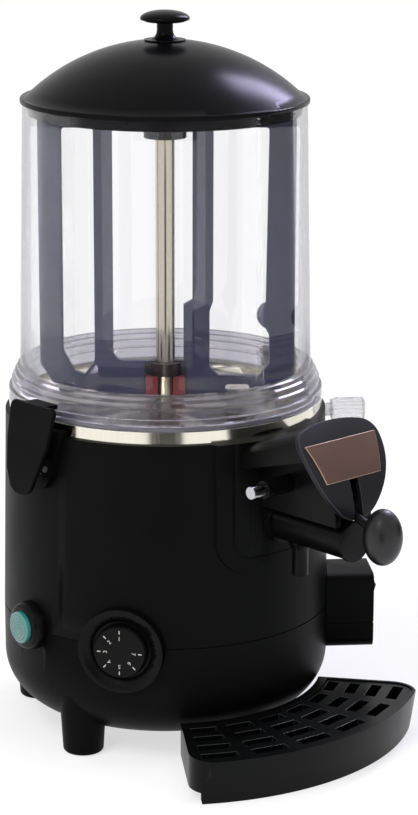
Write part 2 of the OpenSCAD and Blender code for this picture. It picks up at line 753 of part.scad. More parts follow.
// a round solid along the bow of the shield's face, a depth below the face
module bow_solid(depth) {
  on_shield() translate([-80, shield_bow_mid, -shield_bow_r]) rotate([0, 90, 0])
    cylinder(r = shield_bow_r - depth, h = 160, $fn = 360);
}
// pick-shaped outline of arcs that run into each other: a shallow arch, two corners, two sides and a tip
module shield_outline(inset) {
  corner_x = shield_half - shield_corner_r;
  arch_y = shield_top - shield_arch_r;
  corner_y = arch_y + sqrt(pow(shield_arch_r - shield_corner_r, 2) - pow(corner_x, 2));
  side_x = shield_side_r - shield_half;
  tip_y = corner_y - sqrt(pow(shield_side_r - shield_tip_r, 2) - pow(side_x, 2));
  arch = atan2(corner_x, corner_y - arch_y);
  side = atan2(corner_y - tip_y, side_x);
  polygon(concat(
    arc_on([0, arch_y], shield_arch_r - inset, 90 - arch, 90 + arch, 10),
    arc_on([-corner_x, corner_y], shield_corner_r - inset, 90 + arch, 180, 8),
    arc_on([side_x, corner_y], shield_side_r - inset, 180, 180 + side, 10),
    arc_on([0, tip_y], shield_tip_r - inset, 180 + side, 360 - side, 12),
    arc_on([-side_x, corner_y], shield_side_r - inset, -side, 0, 10),
    arc_on([corner_x, corner_y], shield_corner_r - inset, 0, 90 - arch, 8)));
}
module tap_shield() {
  color("#26262c") difference() {
    intersection() {
      on_shield() translate([0, 0, -30]) linear_extrude(31) shield_outline(0);
      bow_solid(0);
    }
    bow_solid(shield_t);
    on_shield() translate([-shield_slot_w / 2, -60, -40]) cube([shield_slot_w, 62, 50]);
    // bed of the name plate
    difference() {
      on_shield() translate([0, 0, -20]) linear_extrude(30) plate_outline(0.1);
      bow_solid(0.5);
    }
  }
}
module plate_outline(grow) {
  polygon([[-plate_foot_w - grow, 2.5 - grow], [plate_foot_w + grow, 2.5 - grow],
    [plate_top_w + grow, 34 + grow], [-plate_top_w - grow, 34 + grow]]);
}
// bare brown plate, where a maker would put a name
module name_plate() {
  color("#5b4238") difference() {
    intersection() {
      on_shield() translate([0, 0, -20]) linear_extrude(30) plate_outline(0);
      bow_solid(0.5 - plate_t);
    }
    bow_solid(0.5);
  }
}
// hood from the casing out to the shield, with two cheeks for the lever's pin
module tap_hood() {
  rear = casing_r - 13;
  front = shield_y + 20;
  // the hood's lower edge in the side view: its height at the rear and at the front
  slope = 16 / 55;
  low_rear = pivot_z + 7.5 - 11 * slope;
  low_front = low_rear + slope * (front - rear);
  color(black) difference() {
    union() {
      // the shield's outline carried back to the panel, a little narrower there
      intersection() {
        on_shield() translate([0, 0, -140]) linear_extrude(140) shield_outline(0);
        linear_extrude(tank_top_z) polygon([[-shield_half + 5, -rear], [shield_half - 5, -rear],
          [shield_half + 1, -shield_y], [shield_half + 1, -front], [-shield_half - 1, -front],
          [-shield_half - 1, -shield_y]]);
        translate([-shield_half - 5, 0, 0]) rotate([90, 0, 90]) linear_extrude(2 * shield_half + 10)
          polygon([[-rear, low_rear], [-rear, tank_top_z], [-front, tank_top_z], [-front, low_front]]);
        bow_solid(shield_t);
      }
      // cheeks down to the barrel, a little behind the shield
      intersection() {
        for (x = [-cheek_out, cheek_in]) translate([x, 0, 0]) rotate([90, 0, 90])
          linear_extrude(cheek_out - cheek_in) polygon([[-rear, barrel_z + barrel_r - 1],
            [-rear, low_rear + 4], [-front, low_front + 4], [-front, barrel_z + barrel_r - 1]]);
        bow_solid(shield_t + 2);
      }
      bar_x(boss_r, -pin_head_x, -cheek_in, pivot_y, pivot_z);
    }
    // seat on the raised panel, clear of the tank's foot
    cylinder(r = surround_r, h = tank_top_z, $fn = 360);
    // room for the lever
    translate([-cheek_in, -pivot_y - 80, pivot_z - 20]) cube([2 * cheek_in, 80 + hub_r + 1, 20 + hub_r + 2]);
    bar_x(pin_r + slip, -pin_head_x - 2, pin_head_x, pivot_y, pivot_z);
  }
}
module tap_lever() {
  tip = [-toe_y, barrel_z];
  color(soft_black) difference() {
    union() {
      bar_x(hub_r - 0.5, -hub_half, hub_half, pivot_y, pivot_z);
      // arm towards the knob
      translate([0, -pivot_y, pivot_z]) rotate([90 + arm_slope, 0, 0]) cylinder(r = arm_r, h = arm_len - 8);
      // fork down to the piston's neck
      for (side = [-1, 1]) {
        translate([side > 0 ? 3 : -7, 0, 0]) rotate([90, 0, 90]) linear_extrude(4) polygon([
          [tip.x - 2.6, tip.y + 2], [tip.x + 2.6, tip.y + 2],
          [-pivot_y + 2, pivot_z - 4], [-pivot_y - 6, pivot_z - 4]]);
        bar_x(toe_tip_r, side > 0 ? 3 : -7, side > 0 ? 7 : -3, toe_y, barrel_z);
      }
    }
    bar_x(pin_r + slip, -50, 50, pivot_y, pivot_z);
  }
}
module lever_knob() {
  end = [-pivot_y - arm_len * cos(arm_slope), pivot_z - arm_len * sin(arm_slope)];
  color(black) difference() {
    translate([0, end.x, end.y]) rotate_extrude() polygon(concat([[0, -egg_h]],
      [for (i = [1:17]) let (a = -90 + 10 * i) [egg_r * cos(a), egg_h * sin(a)]], [[0, egg_h]]));
    translate([0, -pivot_y, pivot_z]) rotate([90 + arm_slope, 0, 0])
      cylinder(r = arm_r + 0.05, h = arm_len - 8);
  }
}
module lever_pin() {
  color(steel) union() {
    bar_x(pin_r, -pin_head_x, cheek_out + 4, pivot_y, pivot_z);
    bar_x(pin_r + 2, -pin_head_x - pin_head_len, -pin_head_x, pivot_y, pivot_z);
  }
}

// ---- drip tray ----
// plan of the tray: a sector with round front corners, drawn in by inset
module tray_plan(inset) {
  corner = 22;
  r_out = tray_r + 1;
  turn = asin(corner / (r_out - corner));
  end_out = tray_half - turn;
  end_in = tray_half - asin(inset / (tray_inner_r + inset));
  c = round_body(r_out - corner, end_out);
  polygon(concat(
    [for (i = [0:24]) round_body(r_out - inset, -end_out + 2 * end_out * i / 24)],
    [for (i = [1:8]) c + round_body(corner - inset, end_out + (tray_half + 90 - end_out) * i / 8)],
    [for (i = [0:16]) round_body(tray_inner_r + inset, end_in - 2 * end_in * i / 16)],
    [for (i = [8:-1:1]) [-c.x, c.y]
      + round_body(corner - inset, -(end_out + (tray_half + 90 - end_out) * i / 8))]));
}
// the same solid with a front that leans in towards the table
module tray_solid(inset, z0, z1) {
  intersection() {
    translate([0, 0, z0]) linear_extrude(z1 - z0) tray_plan(inset);
    cylinder(r1 = tray_r - tray_taper - inset, r2 = tray_r - inset + tray_taper * 4 / tray_h, h = tray_h + 4);
  }
}
grid_top_z = tray_h - 1;
module tray_basin() {
  floor_z = tray_under + 2.5;
  color(black) difference() {
    union() {
      tray_solid(0, tray_under, tray_h);
      // the front reaches down to the table, and two small feet carry the rear
      intersection() {
        difference() {
          tray_solid(0, 0, tray_under + cut);
          tray_solid(4, -cut, tray_under + 3);
        }
        translate([-tray_r, -tray_r - cut, 0]) cube([2 * tray_r, 43, tray_h]);
      }
      for (side = [-1, 1]) at_angle(side * 30) translate([0, -tray_inner_r - 8, 0])
        cylinder(r = 5, h = tray_under + cut);
    }
    difference() {
      tray_solid(tray_wall + 2.4, floor_z, tray_h + 1);
      cylinder(r = grid_rear_r + 2, h = tray_h + 2, $fn = 360);
    }
    difference() {
      tray_solid(tray_wall, grid_top_z - grid_t, tray_h + 1);
      cylinder(r = grid_rear_r - 0.4, h = tray_h + 2, $fn = 360);
    }
  }
}
module tray_grid() {
  first_r = tray_inner_r + 14;
  step = 12;
  slot_half = 4.2;
  color(soft_black) difference() {
    tray_solid(tray_wall + 0.4, grid_top_z - grid_t, grid_top_z);
    cylinder(r = grid_rear_r, h = tray_h + 2, $fn = 360);
    for (row = [0:3], i = [-3:2]) {
      r = first_r + row * grid_pitch;
      half_len = r * sin(slot_half);
      at_angle((i + 0.5) * step) translate([-half_len, -r - grid_slot / 2, grid_top_z - grid_t - cut])
        cube([2 * half_len, grid_slot, grid_t + 2 * cut]);
    }
  }
}

// ---- latches ----
module latch_bracket() {
  lug_r = 4.6;
  color(black) difference() {
    union() {
      // pad that follows the casing, drawn in the view from outside
      intersection() {
        outwards(casing_r - 12, 0) linear_extrude(30) polygon(concat(
          [[28, casing_top_z + 6], [-28, casing_top_z + 6]], arc([0, 231], 14, 190, 350, 10)));
        cylinder(r = pad_r, h = tank_top_z, $fn = 360);
      }
      for (x = [-17.3, 13.2]) {
        translate([x, -latch_pin_y, latch_pin_z - 7]) cube([4.1, 15, 14]);
        bar_x(lug_r, x, x + 4.1, latch_pin_y, latch_pin_z);
      }
    }
    casing_outer();
    cylinder(r = casing_top_r, h = tank_top_z, $fn = 360);
    bar_x(latch_pin_r + slip, -40, 40, latch_pin_y, latch_pin_z);
  }
}
// the upper casing's outer surface as a solid
module casing_outer() {
  rotate_extrude($fn = 360) polygon([[0, seam_z], [casing_r, seam_z], [casing_top_r, casing_top_z],
    [casing_top_r, casing_top_z + 1], [0, casing_top_z + 1]]);
}
// tongue whose hook holds the tank's flange down, its foot standing off the casing
module latch() {
  top = hook_z + 4;
  // outer face in the side view, from the top edge down
  face = [[casing_r + 6, top], [casing_r + 12.6, top - 29], [casing_r + 18.4, top - 51],
    [casing_r + 20.5, top - 70]];
  color(soft_black) difference() {
    union() {
      intersection() {
        translate([-40, 0, 0]) rotate([90, 0, 90]) linear_extrude(80) polygon(concat(
          [for (p = face) [-p.x, p.y]], [for (i = [3:-1:0]) [latch_t - face[i].x, face[i].y]]));
        outwards(casing_r - 5, 0) linear_extrude(40) polygon(concat(
          [[18, top - 51], [24, top - 29], [latch_half, top - 3], [latch_half - 3, top],
          [3 - latch_half, top], [-latch_half, top - 3], [-24, top - 29], [-18, top - 51]],
          arc([0, top - 53], 17, 225, 315, 8)));
      }
      // hook over the flange
      intersection() {
        translate([-12.8, -face[0].x, hook_z]) cube([25.6, 24, 4]);
        translate([0, 0, hook_z - 1]) tube(face[0].x, band_r - flange_step + apart, 0, 12);
      }
      // hub and web round the pin
      bar_x(5.5, -12.8, 12.8, latch_pin_y, latch_pin_z);
      translate([-12.8, -latch_pin_y - 6.5, latch_pin_z - 5.5]) cube([25.6, 6.5, 11]);
    }
    bar_x(latch_pin_r + slip, -40, 40, latch_pin_y, latch_pin_z);
  }
}
module latch_pin() {
  color(steel) bar_x(latch_pin_r, -17.5, 17.5, latch_pin_y, latch_pin_z);
}

// ---- controls ----
module power_bezel() {
  color(black) at_angle(power_angle) difference() {
    union() {
      outwards(casing_r - 3, power_z) rotate_extrude() polygon([[0, 0], [bezel_r, 0], [bezel_r, 6],
        [bezel_r - 0.6, 9.4], [bezel_r - 1.8, 11.6], [bezel_r - 3.5, 12.5], [0, 12.5]]);
      outwards(casing_r - 22, power_z) cylinder(r = power_r + 1.5, h = 25);
    }
    difference() {
      cylinder(r = casing_r, h = seam_z + 30);
      outwards(0, power_z) cylinder(r = power_r + 1.5, h = casing_r + 20);
    }
    outwards(casing_r - 19, power_z) cylinder(r = power_r + slip, h = 40);
  }
}
module power_button() {
  color("#2f7d7c") at_angle(power_angle) outwards(casing_r - 14, power_z) rotate_extrude() polygon(concat(
    [[0, 0], [power_r, 0], [power_r, 26]],
    [for (i = [1:4]) [power_r * cos(22.5 * i) + 0.001 * (4 - i), 26 + 3 * sin(22.5 * i)]]));
}
module dial_collar() {
  color(black) at_angle(dial_angle) difference() {
    outwards(casing_r - 12, dial_z) cylinder(r = collar_r, h = 18);
    outwards(casing_r + 1, dial_z) cylinder(r = dial_r + 2, h = 20);
    // bevel of the rim's inside
    outwards(casing_r + 2, dial_z) cylinder(r1 = dial_r + 2, r2 = collar_r - 3, h = 4.01);
    outwards(0, dial_z) cylinder(r = 5, h = casing_r + 20);
    cylinder(r = casing_r, h = casing_top_z, $fn = 360);
  }
}
module thermostat() {
  color("#b9b7b0") at_angle(dial_angle) union() {
    translate([-14, -casing_r + 8, dial_z - 16]) cube([28, 22, 32]);
    // threaded neck through the casing
    outwards(casing_r - 9, dial_z) cylinder(r = 5 - slip, h = 9.8);
    outwards(casing_r - 10, dial_z) cylinder(r = 3, h = 14);
  }
}
module thermostat_dial() {
  base = casing_r + 1 + apart;
  color(soft_black) at_angle(dial_angle) difference() {
    outwards(base, dial_z) union() {
      cylinder(r = dial_r, h = dial_h - 2);
      translate([0, 0, dial_h - 2.01]) cylinder(r1 = dial_r, r2 = dial_r - 1.5, h = 2.01);
    }
    outwards(casing_r - 10, dial_z) cylinder(r = 3 + slip, h = 14.5);
  }
}
// outline of the housing seen from outside, with round corners
module pod_outline(inset) {
  half = pod_w / 2;
  top = pod_base_z + pod_h;
  polygon(concat(
    arc([half - 8, pod_base_z + 8], 8 - inset, -90, 0, 6),
    arc([half - 6, top - 6], 6 - inset, 0, 90, 5),
    arc([6 - half, top - 6], 6 - inset, 90, 180, 5),
    arc([8 - half, pod_base_z + 8], 8 - inset, 180, 270, 6)));
}
module switch_housing() {
  rear = casing_r - 20;
  color(black) at_angle(pod_angle) difference() {
    outwards(rear, 0) linear_extrude(pod_reach - rear) pod_outline(0);
    outwards(rear - cut, 0) linear_extrude(pod_reach - rear - 2.5 + cut) pod_outline(2.5);
    // groove where its two halves meet
    difference() {
      translate([-pod_w, -pod_reach - cut, pod_base_z + 21.4]) cube([2 * pod_w, pod_reach, 1.2]);
      linear_extrude(seam_z) square([pod_w - 1.6, 2 * pod_reach - 1.6], center = true);
    }
    lower_solid(0, seam_z);
    cylinder(r = casing_r, h = casing_top_z);
    translate([-9.1, -pod_reach - 5, rocker_z - 13.6]) cube([18.2, 15, 27.2]);
  }
}
module rocker_frame() {
  color(soft_black) at_angle(pod_angle) difference() {
    union() {
      translate([-11, -pod_reach - 1.6, rocker_z - 15.5]) cube([22, 1.6, 31]);
      translate([-9, -pod_reach - 0.5, rocker_z - 13.5]) cube([18, 18, 27]);
    }
    translate([-7.4, -pod_reach - 5, rocker_z - 11.9]) cube([14.8, 20, 23.8]);
    bar_x(rocker_pin_r + slip, -rocker_pin_half - 0.1, rocker_pin_half + 0.1, pod_reach - 5, rocker_z);
  }
}
// rocker that tips about two stub pins, resting in its off position
module rocker_switch() {
  color("#1b1b1d") at_angle(pod_angle) translate([0, 5 - pod_reach, rocker_z]) rotate([6, 0, 0]) union() {
    rotate([90, 0, 90]) translate([0, 0, -7.1]) linear_extrude(14.2) polygon([
      [-8.2, -10.8], [-6.6, 0], [-8.2, 10.8], [-3, 10.6], [3.5, 5], [3.5, -5], [-3, -10.6]]);
    bar_x(rocker_pin_r, -rocker_pin_half, rocker_pin_half, 0, 0);
  }
}
module filler_neck() {
  color(clear) at_angle(pod_angle) difference() {
    outwards(bath_r - 3, filler_z) cylinder(r = filler_r, h = casing_r + 7 - bath_r);
    outwards(bath_r - 5, filler_z) cylinder(r = filler_r - 1.3, h = 60);
  }
}
// screw cap with grip ribs
module filler_cap() {
  inner = casing_r + 2.5;
  color(clear) at_angle(pod_angle) difference() {
    union() {
      outwards(inner, filler_z) cylinder(r = 8.6, h = 27);
      for (i = [0:17]) outwards(inner + 3, filler_z) rotate([0, 0, 20 * i])
        translate([8, -0.9, 0]) cube([1.6, 1.8, 23]);
    }
    outwards(inner - cut, filler_z) cylinder(r = filler_r + apart, h = 8);
  }
}
module cable_gland() {
  color(soft_black) at_angle(180) difference() {
    union() {
      outwards(casing_r - 8, 75) cylinder(r = 7.9, h = 12);
      outwards(casing_r - 2, 75) cylinder(r = 11, h = 8, $fn = 6);
      outwards(casing_r + 5.9, 75) cylinder(r1 = 9, r2 = 6.5, h = 7);
    }
    outwards(casing_r - 10, 75) cylinder(r = 3.6, h = 40);
    difference() {
      cylinder(r = casing_r, h = casing_top_z);
      outwards(0, 75) cylinder(r = 7.9, h = casing_r + 20);
    }
  }
}

upper_casing();
lower_casing();
base_plate();
base_screws();
foot(0, front_foot_r);  // foot_front
foot(-side_foot_angle, foot_circle_r);  // foot_left
foot(side_foot_angle, foot_circle_r);  // foot_right
foot(-rear_foot_angle, foot_circle_r);  // foot_rear_left
foot(rear_foot_angle, foot_circle_r);  // foot_rear_right
product_bowl();
bowl_outlet();
water_bath();
heating_element();
tank_gasket();
tank_cylinder();
column_tube();
column_bush();
drive_shaft();
drive_head();
gearbox();
gear_motor();
motor_bracket();
paddle();
paddle_shoes();
lid();
lid_knob();
knob_screw();
tap_surround();
tap_body();
tap_seal();
tap_piston();
piston_rings();
piston_spring();
barrel_cap();
tap_hood();
tap_shield();
name_plate();
tap_lever();
lever_knob();
lever_pin();
tray_basin();
tray_grid();
at_angle(-latch_angle) latch_bracket();  // latch_bracket_left
at_angle(latch_angle) latch_bracket();  // latch_bracket_right
at_angle(-latch_angle) latch();  // latch_left
at_angle(latch_angle) latch();  // latch_right
at_angle(-latch_angle) latch_pin();  // latch_pin_left
at_angle(latch_angle) latch_pin();  // latch_pin_right
power_bezel();
power_button();
dial_collar();
thermostat();
thermostat_dial();
switch_housing();
rocker_frame();
rocker_switch();
filler_neck();
filler_cap();
cable_gland();
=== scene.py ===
# A countertop hot chocolate dispenser, dressed round its solids.
# Metres, +Z up. The tap points towards -Y, and angles round the body count from the tap to the right.
import json
import math

import bmesh
import bpy
import numpy as np
from mathutils import Matrix, Vector

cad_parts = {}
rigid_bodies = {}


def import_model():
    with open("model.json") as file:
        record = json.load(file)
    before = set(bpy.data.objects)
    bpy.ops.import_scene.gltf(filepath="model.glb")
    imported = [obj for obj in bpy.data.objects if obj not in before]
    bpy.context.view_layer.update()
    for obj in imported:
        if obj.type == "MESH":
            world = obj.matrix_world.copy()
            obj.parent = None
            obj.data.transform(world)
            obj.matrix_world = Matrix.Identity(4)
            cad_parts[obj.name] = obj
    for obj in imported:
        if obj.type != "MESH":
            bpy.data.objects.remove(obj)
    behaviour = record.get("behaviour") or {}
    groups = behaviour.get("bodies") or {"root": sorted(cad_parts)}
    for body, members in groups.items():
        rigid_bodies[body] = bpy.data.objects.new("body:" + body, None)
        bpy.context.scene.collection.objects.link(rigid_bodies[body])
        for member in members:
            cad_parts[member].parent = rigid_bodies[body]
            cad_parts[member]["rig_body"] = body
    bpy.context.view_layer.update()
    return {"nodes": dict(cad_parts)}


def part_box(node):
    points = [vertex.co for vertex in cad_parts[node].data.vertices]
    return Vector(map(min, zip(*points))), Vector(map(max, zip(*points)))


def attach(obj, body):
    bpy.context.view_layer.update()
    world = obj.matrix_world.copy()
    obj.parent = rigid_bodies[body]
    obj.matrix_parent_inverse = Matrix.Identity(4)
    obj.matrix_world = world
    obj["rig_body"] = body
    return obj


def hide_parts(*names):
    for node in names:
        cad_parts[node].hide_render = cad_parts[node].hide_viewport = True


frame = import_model()
scene = bpy.context.scene
MM = 0.001


# ---- Camera ----
# The photograph was taken from the front left, a little above the lid, with a long lens. Its place, turn,
# dip and lean were fitted to the circles of the lid, tank and casing.
PICTURE_HEIGHT_PX = 815
FOCAL_LENGTH_PX = 2557
SENSOR_MM = 36
CAMERA_PLACE = (-1.347, -1.491, 0.783)
CAMERA_TURN, CAMERA_DIP, CAMERA_LEAN = -43.10, 14.61, 0.15
camera = bpy.data.objects.new("camera", bpy.data.cameras.new("camera"))
scene.collection.objects.link(camera)
camera.data.sensor_fit = "VERTICAL"
camera.data.sensor_height = SENSOR_MM
camera.data.lens = SENSOR_MM * FOCAL_LENGTH_PX / PICTURE_HEIGHT_PX
camera.location = CAMERA_PLACE
heading = Matrix.Rotation(math.radians(CAMERA_TURN), 4, "Z")
dip = Matrix.Rotation(math.radians(90 - CAMERA_DIP), 4, "X")
lean = Matrix.Rotation(math.radians(CAMERA_LEAN), 4, "Z")
camera.rotation_euler = (heading @ dip @ lean).to_euler()
scene.camera = camera


# ---- Studio ----
# A pale floor runs into a pale backdrop, lit so that only a soft shadow shows. A large lamp stands at the
# front left, a narrow one at the rear right gives the lid its long highlight, and a small one and a top
# lamp fill in. Two black cards make the dark zones on the steel.
BACKDROP_FOR_MIRRORS = 0.75
BACKDROP_FOR_LIGHT = 0.42


def linear(code):
    """An sRGB hex value, such as "8a8a8a", as linear red, green, blue and alpha."""
    parts = np.array([int(code[i : i + 2], 16) for i in (0, 2, 4)]) / 255
    low, high = parts / 12.92, ((parts + 0.055) / 1.055) ** 2.4
    return (*np.where(parts <= 0.04045, low, high), 1.0)


def add(tree, kind, inputs=(), **settings):
    """Adds a shader node. inputs gives values, or other nodes' outputs, by the inputs' names or numbers."""
    node = tree.nodes.new("ShaderNode" + kind)
    for name, value in settings.items():
        setattr(node, name, value)
    for name, value in dict(inputs).items():
        if isinstance(value, bpy.types.NodeSocket):
            tree.links.new(value, node.inputs[name])
        else:
            node.inputs[name].default_value = value
    return node


scene.view_settings.view_transform = "Standard"
world = bpy.data.worlds.new("studio")
scene.world = world
world.use_nodes = True
sky = world.node_tree
sky.nodes.clear()
ray = add(sky, "LightPath").outputs
seen = add(sky, "Math", {0: ray["Is Camera Ray"], 1: ray["Is Transmission Ray"]}, operation="MAXIMUM")
glossy = add(sky, "Mix", {0: ray["Is Glossy Ray"], 2: BACKDROP_FOR_LIGHT, 3: BACKDROP_FOR_MIRRORS})
strength = add(sky, "Mix", {0: seen.outputs[0], 2: glossy.outputs[0], 3: 1.0})
backdrop = add(sky, "Background", {"Color": linear("ffffff"), "Strength": strength.outputs[0]})
add(sky, "OutputWorld", {"Surface": backdrop.outputs[0]})

# The floor shows the lamps' shadows near the machine and fades to the backdrop's white further out.
FLOOR_HALF = 12.0
FLOOR_DROP_MM = 0.2
SHADOW_FADE_FROM, SHADOW_FADE_TO = 0.35, 1.1
WHITE_NEAR_MACHINE = 0.62
floor_mesh = bpy.data.meshes.new("floor")
corners = [(x * FLOOR_HALF, y * FLOOR_HALF, 0) for x, y in ((-1, -1), (1, -1), (1, 1), (-1, 1))]
floor_mesh.from_pydata(corners, [], [(0, 1, 2, 3)])
floor = bpy.data.objects.new("floor", floor_mesh)
floor.location.z = -FLOOR_DROP_MM * MM
scene.collection.objects.link(floor)
paper = bpy.data.materials.new("studio_paper")
paper.use_nodes = True
tree = paper.node_tree
tree.nodes.clear()
place = add(tree, "TexCoord").outputs["Object"]
far = add(tree, "VectorMath", {0: place}, operation="LENGTH").outputs["Value"]
fade_span = {"Value": far, "From Min": SHADOW_FADE_FROM, "From Max": SHADOW_FADE_TO}
fade = add(tree, "MapRange", {**fade_span, "To Min": WHITE_NEAR_MACHINE})
ray = add(tree, "LightPath").outputs
seen = add(tree, "Math", {0: ray["Is Camera Ray"], 1: ray["Is Transmission Ray"]}, operation="MAXIMUM")
direct = add(tree, "Math", {0: seen.outputs[0], 1: ray["Is Glossy Ray"]}, operation="MAXIMUM")
share = add(tree, "Math", {0: fade.outputs[0], 1: direct.outputs[0]}, operation="MULTIPLY")
lit = add(tree, "BsdfDiffuse", {"Color": linear("f4f4f4")})
white = add(tree, "Emission", {"Color": linear("ffffff"), "Strength": 1.0})
sheet = add(tree, "MixShader", {0: share.outputs[0], 1: lit.outputs[0], 2: white.outputs[0]})
add(tree, "OutputMaterial", {"Surface": sheet.outputs[0]})
floor_mesh.materials.append(paper)

AIM_HEIGHT = 0.3


def lamp(name, colour, turn, rise, reach, size, power, mirrored=True):
    """A softbox aimed at the machine's middle. turn counts round the body from the tap, rise from level.
    One that isn't mirrored lights surfaces without showing as a highlight on them."""
    light = bpy.data.lights.new(name, "AREA")
    light.shape = "RECTANGLE"
    light.size, light.size_y = size
    light.energy, light.color = power, linear(colour)[:3]
    box = bpy.data.objects.new(name, light)
    scene.collection.objects.link(box)
    turn, rise = math.radians(turn), math.radians(rise)
    way = Vector((math.sin(turn) * math.cos(rise), -math.cos(turn) * math.cos(rise), math.sin(rise)))
    box.location = Vector((0, 0, AIM_HEIGHT)) + way * reach
    box.rotation_euler = way.to_track_quat("Z", "Y").to_euler()
    box.visible_glossy = mirrored


lamp("front_softbox", "ffffff", turn=-82, rise=38, reach=2.0, size=(1.3, 1.6), power=40, mirrored=False)
lamp("small_front_softbox", "ffffff", turn=-70, rise=40, reach=2.0, size=(0.35, 0.35), power=3)
lamp("rear_softbox", "dcd6ff", turn=98, rise=42, reach=1.7, size=(0.3, 0.9), power=20)
lamp("top_softbox", "ffffff", turn=20, rise=80, reach=1.9, size=(1.2, 1.2), power=16, mirrored=False)

# Two low black cards that only reflections meet. They draw the dark zones on the steel band and column.
black_card = bpy.data.materials.new("black_card")
black_card.use_nodes = True
matt = black_card.node_tree.nodes["Principled BSDF"].inputs
matt["Base Color"].default_value = linear("050505")
matt["Specular IOR Level"].default_value = 0.0


def card(name, turn, reach, width, height):
    """An upright card that stands on the floor and faces the machine. turn counts round from the tap."""
    turn = math.radians(turn)
    away = Vector((math.sin(turn), -math.cos(turn), 0)) * reach
    side = Vector((math.cos(turn), math.sin(turn), 0)) * width / 2
    up = Vector((0, 0, height))
    mesh = bpy.data.meshes.new(name)
    mesh.from_pydata([away - side, away + side, away + side + up, away - side + up], [], [(0, 1, 2, 3)])
    mesh.materials.append(black_card)
    piece = bpy.data.objects.new(name, mesh)
    scene.collection.objects.link(piece)
    piece.visible_camera = piece.visible_diffuse = piece.visible_shadow = piece.visible_transmission = False


card("front_flag", turn=-42, reach=0.9, width=0.36, height=0.34)
card("right_flag", turn=64, reach=1.2, width=1.0, height=0.42)


# ---- Moulded casings ----
# Two black ABS shells meet at a fine seam. They come from a textured mould, so they carry a fine,
# even grain and a soft sheen, with slightly uneven gloss from handling and wiping.
GRAIN_MM = 1.1  # coarser than the real 0.3 mm, so that it shows at this size
GRAIN_DEPTH_MM, GRAIN_BUMP = 0.06, 0.10
WALL_WAVE_MM = 45
NOISE_LOW, NOISE_HIGH = 0.3, 0.7  # nearly all of a noise texture's values lie between these
WORN_TONE = 1.35
DULLER, GLOSSIER = 0.04, 0.03
CREASE_DEGREES = 32
WELD_MM, FLAT_DEGREES = 0.002, 0.3


def shaded(colour, factor):
    """The linear value of an sRGB hex colour, made lighter or darker by a factor."""
    return tuple(min(1.0, part * factor) for part in linear(colour)[:3]) + (1.0,)


def blank_material(name):
    """A new material with its node tree, its shader and the coordinates on the piece that it covers."""
    material = bpy.data.materials.new(name)
    material.use_nodes = True
    tree = material.node_tree
    return material, tree, tree.nodes["Principled BSDF"], add(tree, "TexCoord").outputs["Object"]


def moulded_plastic(name, colour, roughness, gloss, grain=1.0):
    """Moulded plastic: slow noise varies its tone and gloss as handling does, and fine noise in its bump
    is the mould's grain. grain is how strong that is beside the casing's."""
    material, tree, shader, place = blank_material(name)
    waves = {"Vector": place, "Scale": 1 / (WALL_WAVE_MM * MM), "Detail": 3.0}
    grains = {"Vector": place, "Scale": 1 / (GRAIN_MM * MM), "Detail": 2.0}
    wave = add(tree, "TexNoise", waves).outputs[0]
    fine = add(tree, "TexNoise", grains).outputs[0]
    span = {"Value": wave, "From Min": NOISE_LOW, "From Max": NOISE_HIGH}
    tone = add(tree, "MapRange", span)
    worn = shaded(colour, WORN_TONE)
    mixed = add(tree, "Mix", {0: tone.outputs[0], 6: linear(colour), 7: worn}, data_type="RGBA")
    sheen = add(tree, "MapRange", {**span, "To Min": roughness - GLOSSIER, "To Max": roughness + DULLER})
    raised = GRAIN_BUMP * grain
    bump = add(tree, "Bump", {"Height": fine, "Strength": raised, "Distance": GRAIN_DEPTH_MM * MM})
    tree.links.new(mixed.outputs[2], shader.inputs["Base Color"])
    tree.links.new(sheen.outputs[0], shader.inputs["Roughness"])
    tree.links.new(bump.outputs[0], shader.inputs["Normal"])
    shader.inputs["IOR"].default_value = 1.52
    shader.inputs["Specular IOR Level"].default_value = gloss
    return material


def fair_copy(node, material, edge=0.0, crease=CREASE_DEGREES, edge_material=None):
    """A copy of a CAD node: its loose triangles are joined, its flat faces made whole, its edges rounded by
    edge millimetres and its curved faces shaded smooth. Its rounded edges can have a material of their own.
    It stands for the node and rides on its body."""
    source = frame["nodes"][node]
    shape = bmesh.new()
    shape.from_mesh(source.data)
    bmesh.ops.remove_doubles(shape, verts=shape.verts, dist=WELD_MM * MM)
    flat = math.radians(FLAT_DEGREES)
    bmesh.ops.dissolve_limit(shape, angle_limit=flat, verts=shape.verts, edges=shape.edges)
    mesh = bpy.data.meshes.new(node + "_skin")
    shape.to_mesh(mesh)
    shape.free()
    mesh.materials.clear()
    mesh.materials.append(material)
    mesh.shade_smooth()
    mesh.set_sharp_from_angle(angle=math.radians(crease))
    piece = bpy.data.objects.new(node + "_skin", mesh)
    scene.collection.objects.link(piece)
    if edge:
        bevel = piece.modifiers.new("edge", "BEVEL")
        bevel.width = edge * MM
        bevel.segments = 2
        bevel.limit_method = "ANGLE"
        bevel.angle_limit = math.radians(crease)
        bevel.use_clamp_overlap = True
        bevel.harden_normals = True
        if edge_material:
            mesh.materials.append(edge_material)
            bevel.material = 1
    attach(piece, source["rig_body"])
    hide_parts(node)


casing_abs = moulded_plastic("textured_black_abs", "060706", roughness=0.4, gloss=0.05)
fair_copy("upper_casing", casing_abs)
fair_copy("lower_casing", casing_abs)


# ---- Feet ----
# Five conical feet, moulded in harder black polypropylene with the same grain as the casing. Each is
# screwed up into the rounded edge of the lower shell.
foot_plastic = moulded_plastic("black_polypropylene", "060706", roughness=0.45, gloss=0.04)
for foot in ("foot_front", "foot_left", "foot_right", "foot_rear_left", "foot_rear_right"):
    fair_copy(foot, foot_plastic, edge=0.6)


